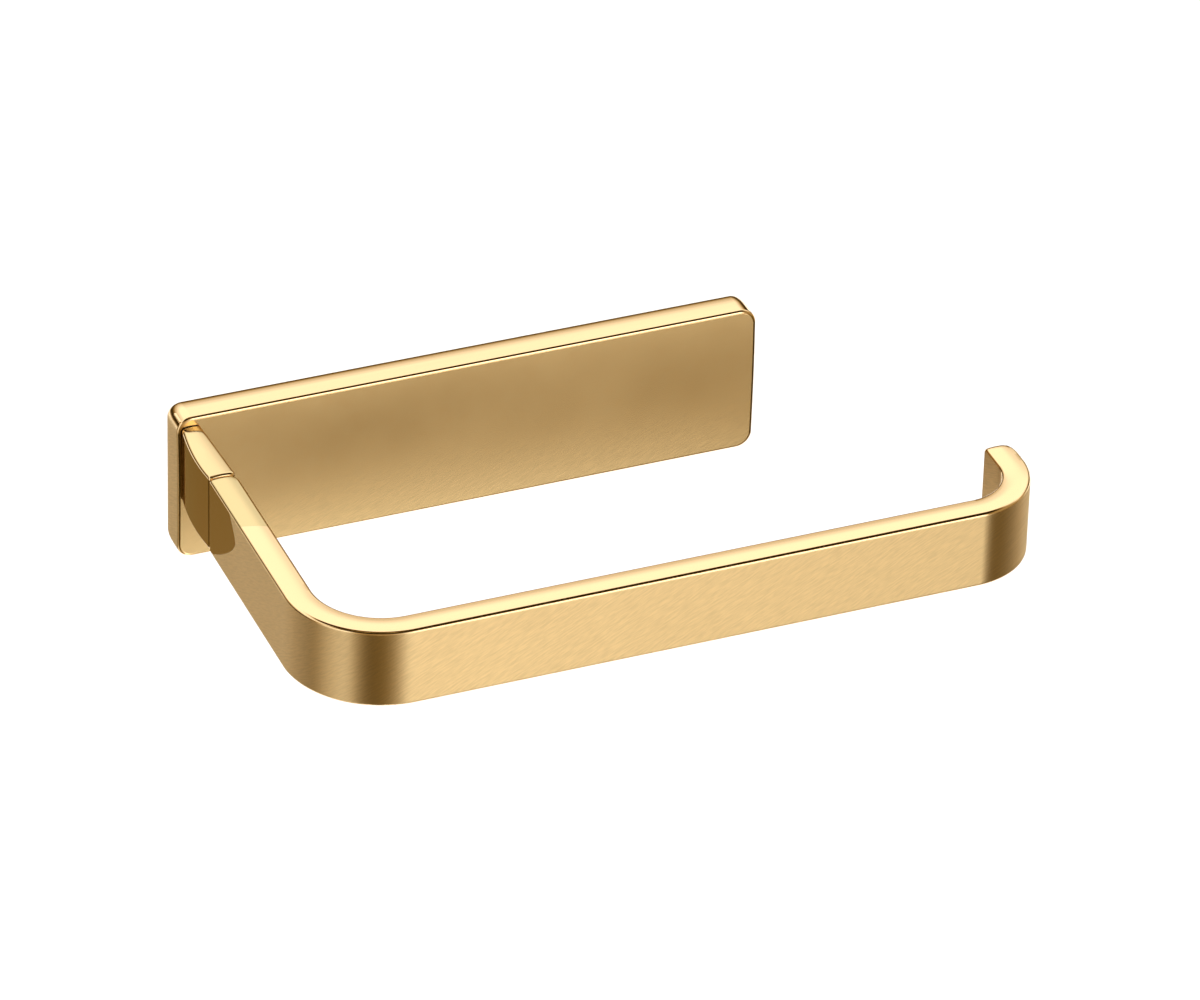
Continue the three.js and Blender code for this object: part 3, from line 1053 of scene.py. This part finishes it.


# ---------------------------------------------------------------- stage


# strength of the surroundings, given as (elevation, strength) above the horizon, on the
# wall's side and on the room's side
WALL_SIDE = [
    (0, 0.03), (10, 0.06), (15, 0.3), (23, 0.75), (29, 1.0), (34, 1.35), (48, 1.35), (58, 0.06),
    (70, 0.05), (78, 0.35), (90, 0.35),
]
ROOM_SIDE = [(-20, 1.0), (0, 1.25), (36, 1.3), (41, 0.05), (72, 0.05), (82, 0.35), (90, 0.35)]

# (bearing, strength) all round, clockwise from straight ahead, and (elevation, share) below the
# horizon: these two are multiplied
ALL_ROUND = [
    (-180, 1.15), (-150, 1.1), (-136, 0.9), (-117, 0.4), (-97, 0.18), (-77, 0.78), (-57, 0.95),
    (-44, 0.22), (-34, 0.08), (-12, 0.16), (2, 0.42), (12, 1.1), (17, 1.8), (24.5, 2.0),
    (26.3, 1.5), (29, 0.3), (36, 0.12), (74, 0.14), (86, 0.45), (105, 1.2), (125, 1.7),
    (155, 1.25), (179, 1.15),
]
BELOW_HORIZON = [
    (-90, 1.3), (-60, 1.3), (-48, 1.1), (-42, 0.78), (-38, 0.5), (-34.5, 0.2), (-31, 0.12),
    (-28, 0.1), (-25.5, 0.3), (-22.5, 0.9), (-20, 1.1), (-10, 1.15),
]
STRONGEST = 2.0
BACKDROP_STRENGTH = 1.1
DARK_TINT = (1.0, 0.64, 0.14, 1.0)
BRIGHT_TINT = (1.0, 1.01, 1.03, 1.0)


def room_glow(view):
    """Soft light from all round: bright cards behind and in front, with dark gaps between them."""
    world = bpy.data.worlds.new("soft studio")
    world.use_nodes = True
    tree = Tree(world.node_tree)
    x, y, z = tree.parts(tree.add("ShaderNodeTexCoord", None, None, "Generated"))
    height = tree.add("ShaderNodeMath", {"operation": "ARCSINE"}, {0: z}) / math.pi + 0.5
    round_about = tree.add("ShaderNodeMath", {"operation": "ARCTAN2"}, {0: x, 1: -y}) / TURN + 0.5

    def card(place, span, stops):
        """A strength, halved to fit in a ramp, that follows stops at angles within a span."""
        return tree.ramp(place, [(at / span + 0.5, strong / STRONGEST) for at, strong in stops])

    behind = card(height, 180.0, WALL_SIDE)
    ahead = card(height, 180.0, ROOM_SIDE)
    below = card(round_about, 360.0, ALL_ROUND)
    table = card(height, 180.0, BELOW_HORIZON)
    toward_wall = y.rise(-0.35, 0.35)
    ahead = ahead * (0.2 + below * STRONGEST * 0.8)
    upper = ahead + (behind - ahead) * toward_wall
    lower_share = 1.0 - z.rise(-0.22, -0.02)
    strong = (upper + (below * table * STRONGEST - upper) * lower_share) * STRONGEST
    tint = tree.blend(strong.rise(0.0, 1.1), DARK_TINT, BRIGHT_TINT)
    seen = tree.add("ShaderNodeLightPath", None, None, "Is Camera Ray")
    glow = {"Color": tint, "Strength": strong * view.room_light}
    plain = {"Color": (1.0, 1.0, 1.0, 1.0), "Strength": BACKDROP_STRENGTH}
    sides = [tree.add("ShaderNodeBackground", None, values) for values in (glow, plain)]
    mixed = tree.add("ShaderNodeMixShader", None, {0: seen, 1: sides[0], 2: sides[1]})
    tree.node("ShaderNodeOutputWorld", None, {"Surface": mixed})
    return world


def pale_floor(view, drop):
    """A wide, plain, pale floor."""
    half = view.floor_size / 2
    corners = [(-half, -half, drop), (half, -half, drop), (half, half, drop), (-half, half, drop)]
    floor = mesh_piece("floor", corners, [(0, 1, 2, 3)])
    if floor.data.polygons[0].normal.z < 0:
        floor.data.flip_normals()
    material, tree = new_finish("pale_floor")
    place = tree.add("ShaderNodeTexCoord", None, None, "Object")
    grain = tree.add("ShaderNodeTexNoise", None, {"Vector": place, "Scale": 3.0, "Detail": 2.0})
    tint = tree.blend(grain, (0.90, 0.90, 0.90, 1.0), (0.92, 0.92, 0.92, 1.0))
    shade(tree, {"Base Color": tint}, {"Roughness": 0.9, "Specular IOR Level": 0.0})
    floor.data.materials.append(material)
    floor.visible_glossy = False


class HOLDER_OT_stage(bpy.types.Operator):
    """Set up the camera, the pale floor and the soft light"""

    bl_idname = "holder.make_stage"
    bl_label = "Stage"

    def execute(self, context):
        scene = context.scene
        view = scene.holder_stage
        turn, tilt = view.azimuth, view.elevation
        back = Vector((math.sin(turn) * math.cos(tilt), -math.cos(turn) * math.cos(tilt), math.sin(tilt)))
        level = Vector((math.cos(turn), math.sin(turn), 0.0))
        upright = back.cross(level)
        right = level * math.cos(view.roll) + upright * math.sin(view.roll)
        up = upright * math.cos(view.roll) - level * math.sin(view.roll)
        aim = Vector(VIEW_MIDDLE) + right * AIM_RIGHT * MM + up * AIM_UP * MM

        camera = bpy.data.objects.new("camera", bpy.data.cameras.new("camera"))
        camera.data.lens = view.lens
        camera.data.sensor_width = SENSOR_WIDTH
        camera.data.clip_end = 100.0
        turned = Matrix((right, up, back)).transposed().to_4x4()
        camera.matrix_world = Matrix.Translation(aim + back * view.distance) @ turned
        scene.collection.objects.link(camera)
        scene.camera = camera

        scene.world = room_glow(view)
        light = bpy.data.objects.new("top_light", bpy.data.lights.new("top_light", "SUN"))
        light.data.energy = view.top_light
        light.data.angle = view.top_light_width
        light.visible_glossy = False
        scene.collection.objects.link(light)
        pale_floor(view, cad_box[0][2] - view.floor_drop)
        scene.view_settings.view_transform = "Standard"
        return {"FINISHED"}


# ---------------------------------------------------------------- hidden pieces

WALL_PLUGS = ("wall_plug_left", "wall_plug_right")
SET_SCREWS = ("arm_set_screw", "cover_set_screw_left", "cover_set_screw_right")
STEEL_PARTS = (
    "wall_bracket",
    "post_screw_lower",
    "post_screw_upper",
    "wall_screw_left",
    "wall_screw_right",
)
POINT_THREADED = 0.85


def thread_tree():
    """Winds a screw thread that fades at both ends, and sets it in place."""
    inputs = [
        ("Float", ["Start Radius", "End Radius", "Ridge", "Pitch", "Length"]),
        ("Vector", ["Place", "Lean"]),
    ]
    group, tree, given = open_group("screw thread", inputs)
    spiral = {
        "Resolution": 24,
        "Rotations": given["Length"] / given["Pitch"],
        "Start Radius": given["Start Radius"],
        "End Radius": given["End Radius"],
        "Height": given["Length"],
    }
    helix = tree.add("GeometryNodeCurveSpiral", None, spiral)
    share = tree.add("GeometryNodeSplineParameter", None, None, "Factor")
    fade = (share * 12.0).least((1.0 - share) * 12.0).least(1.0).most(0.05)
    helix = tree.add("GeometryNodeSetCurveRadius", None, {"Curve": helix, "Radius": fade})
    sweep = {"Curve": helix, "Profile Curve": circle(tree, 4, given["Ridge"]), "Fill Caps": True}
    wound = tree.add("GeometryNodeCurveToMesh", None, sweep)
    place = {"Geometry": wound, "Translation": given["Place"], "Rotation": given["Lean"]}
    close_group(tree, tree.add("GeometryNodeTransform", None, place), given["Finish"])
    return group


def rib_tree():
    """Sets round ribs in a row along a wall plug."""
    inputs = [("Float", ["Radius", "Ridge", "Spacing"]), ("Int", ["Count"]), ("Vector", ["Place"])]
    group, tree, given = open_group("plug ribs", inputs)
    sweep = {"Curve": circle(tree, 40, given["Radius"]), "Profile Curve": circle(tree, 8, given["Ridge"])}
    rib = tree.add("GeometryNodeCurveToMesh", None, sweep)
    upright = tree.add("GeometryNodeTransform", None, {"Geometry": rib, "Rotation": (-QUARTER, 0.0, 0.0)})
    line = {
        "Count": given["Count"],
        "Start Location": given["Place"],
        "Offset": tree.vector(0.0, given["Spacing"], 0.0),
    }
    row = tree.add("GeometryNodeMeshLine", {"mode": "OFFSET"}, line)
    ribs = tree.add("GeometryNodeInstanceOnPoints", None, {"Points": row, "Instance": upright})
    close_group(tree, ribs, given["Finish"])
    return group


def grown_piece(name, group, values):
    """A piece that comes wholly from a geometry tree."""
    piece = bpy.data.objects.new(name, bpy.data.meshes.new(name))
    bpy.context.scene.collection.objects.link(piece)
    grow(piece, group, values)
    piece.data.shade_smooth()
    piece.data.set_sharp_from_angle(angle=RIDGE_SHARP_FROM)
    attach(piece, "root")


class HOLDER_OT_threads(bpy.types.Operator):
    """Wind the threads of the screws"""

    bl_idname = "holder.make_threads"
    bl_label = "Threads"

    def execute(self, context):
        sizes = context.scene.holder_fasteners
        group = thread_tree()

        def wind(name, slot, radii, form, start, run, lean=-QUARTER):
            """One thread, from a start point for a run, of a form (pitch, height)."""
            values = {
                "Start Radius": radii[0],
                "End Radius": radii[1],
                "Ridge": form[1],
                "Pitch": form[0],
                "Length": run,
                "Place": start,
                "Lean": (lean, 0.0, 0.0),
                "Finish": bpy.data.materials[slot],
            }
            grown_piece(name, group, values)

        coarse = (sizes.thread_pitch, sizes.thread_height)
        fine = (sizes.fine_pitch, sizes.fine_height)
        shank = sizes.wood_shank
        for side in ("left", "right"):
            x, z = centre_of(f"wall_screw_{side}", 0, 2)
            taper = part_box(f"wall_screw_{side}")[1][1] - sizes.wood_point
            start, run = (x, sizes.thread_start, z), taper - sizes.thread_start
            wind(f"wall_screw_thread_{side}", "zinc_plated_steel", (shank, shank), coarse, start, run)
            radii, run = (shank, sizes.point_end), sizes.wood_point * POINT_THREADED
            name = f"wall_screw_point_thread_{side}"
            wind(name, "zinc_plated_steel", radii, coarse, (x, taper, z), run)
        radii = (sizes.post_shank, sizes.post_shank)
        for side in ("lower", "upper"):
            x, z = centre_of(f"post_screw_{side}", 0, 2)
            start = (x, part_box(f"post_screw_{side}")[0][1] + fine[0], z)
            wind(f"post_screw_thread_{side}", "zinc_plated_steel", radii, fine, start, sizes.post_thread)
        for name in SET_SCREWS:
            low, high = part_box(name)
            shank = (high[0] - low[0]) / 2
            run = high[2] - low[2] - 2 * fine[1]
            start = (*centre_of(name, 0, 1), low[2] + fine[1])
            wind(f"{name}_thread", "black_steel", (shank, shank), fine, start, run, 0.0)
        return {"FINISHED"}


class HOLDER_OT_ribs(bpy.types.Operator):
    """Set the ribs round the wall plugs"""

    bl_idname = "holder.make_ribs"
    bl_label = "Plug ribs"

    def execute(self, context):
        sizes = context.scene.holder_fasteners
        group = rib_tree()
        for side in ("left", "right"):
            low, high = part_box(f"wall_plug_{side}")
            x, z = centre_of(f"wall_plug_{side}", 0, 2)
            first, last = low[1] + sizes.first_rib, high[1] - sizes.last_rib
            values = {
                "Radius": sizes.plug_radius,
                "Ridge": sizes.rib_height,
                "Spacing": (last - first) / (sizes.rib_count - 1),
                "Count": sizes.rib_count,
                "Place": (x, first, z),
                "Finish": bpy.data.materials["grey_nylon"],
            }
            grown_piece(f"wall_plug_ribs_{side}", group, values)
        return {"FINISHED"}


class HOLDER_OT_fasteners(bpy.types.Operator):
    """Finish the wall bracket, the screws and the wall plugs"""

    bl_idname = "holder.make_fasteners"
    bl_label = "Fasteners"

    def execute(self, context):
        looks = context.scene.holder_finishes
        zinc, oxide, nylon = zinc_finish(looks), oxide_finish(looks), nylon_finish(looks)
        for names, finish in ((STEEL_PARTS, zinc), (SET_SCREWS, oxide), (WALL_PLUGS, nylon)):
            for name in names:
                finish_node(name, finish)
        return {"FINISHED"}


class HOLDER_PT_sidebar(bpy.types.Panel):
    """The steps that make the holder, and its sizes and colours."""

    bl_idname = "HOLDER_PT_sidebar"
    bl_label = "Toilet Paper Holder"
    bl_space_type = "VIEW_3D"
    bl_region_type = "UI"
    bl_category = "Holder"

    def draw(self, context):
        layout = self.layout
        for step in STEPS:
            layout.operator(step.bl_idname)
        for name, kind in SETTINGS.items():
            box = layout.box()
            box.label(text=name.replace("holder_", "").capitalize())
            for key in kind.__annotations__:
                box.prop(getattr(context.scene, name), key)


SETTINGS = {
    "holder_cover": CoverSizes,
    "holder_bar": BarSizes,
    "holder_fasteners": FastenerSizes,
    "holder_finishes": Finishes,
    "holder_stage": StageSizes,
}
STEPS = (
    HOLDER_OT_stage,
    HOLDER_OT_cover,
    HOLDER_OT_post,
    HOLDER_OT_arm,
    HOLDER_OT_fasteners,
    HOLDER_OT_threads,
    HOLDER_OT_ribs,
)


def register():
    for kind in (*SETTINGS.values(), *STEPS, HOLDER_PT_sidebar):
        bpy.utils.register_class(kind)
    for name, kind in SETTINGS.items():
        setattr(bpy.types.Scene, name, PointerProperty(type=kind))


def unregister():
    for name in SETTINGS:
        delattr(bpy.types.Scene, name)
    for kind in reversed((*SETTINGS.values(), *STEPS, HOLDER_PT_sidebar)):
        bpy.utils.unregister_class(kind)


def main():
    """Makes every piece in order."""
    register()
    bpy.ops.holder.make_stage()
    bpy.ops.holder.make_cover()
    bpy.ops.holder.make_post()
    bpy.ops.holder.make_arm()
    bpy.ops.holder.make_fasteners()
    bpy.ops.holder.make_threads()
    bpy.ops.holder.make_ribs()


if __name__ == "__main__":
    main()
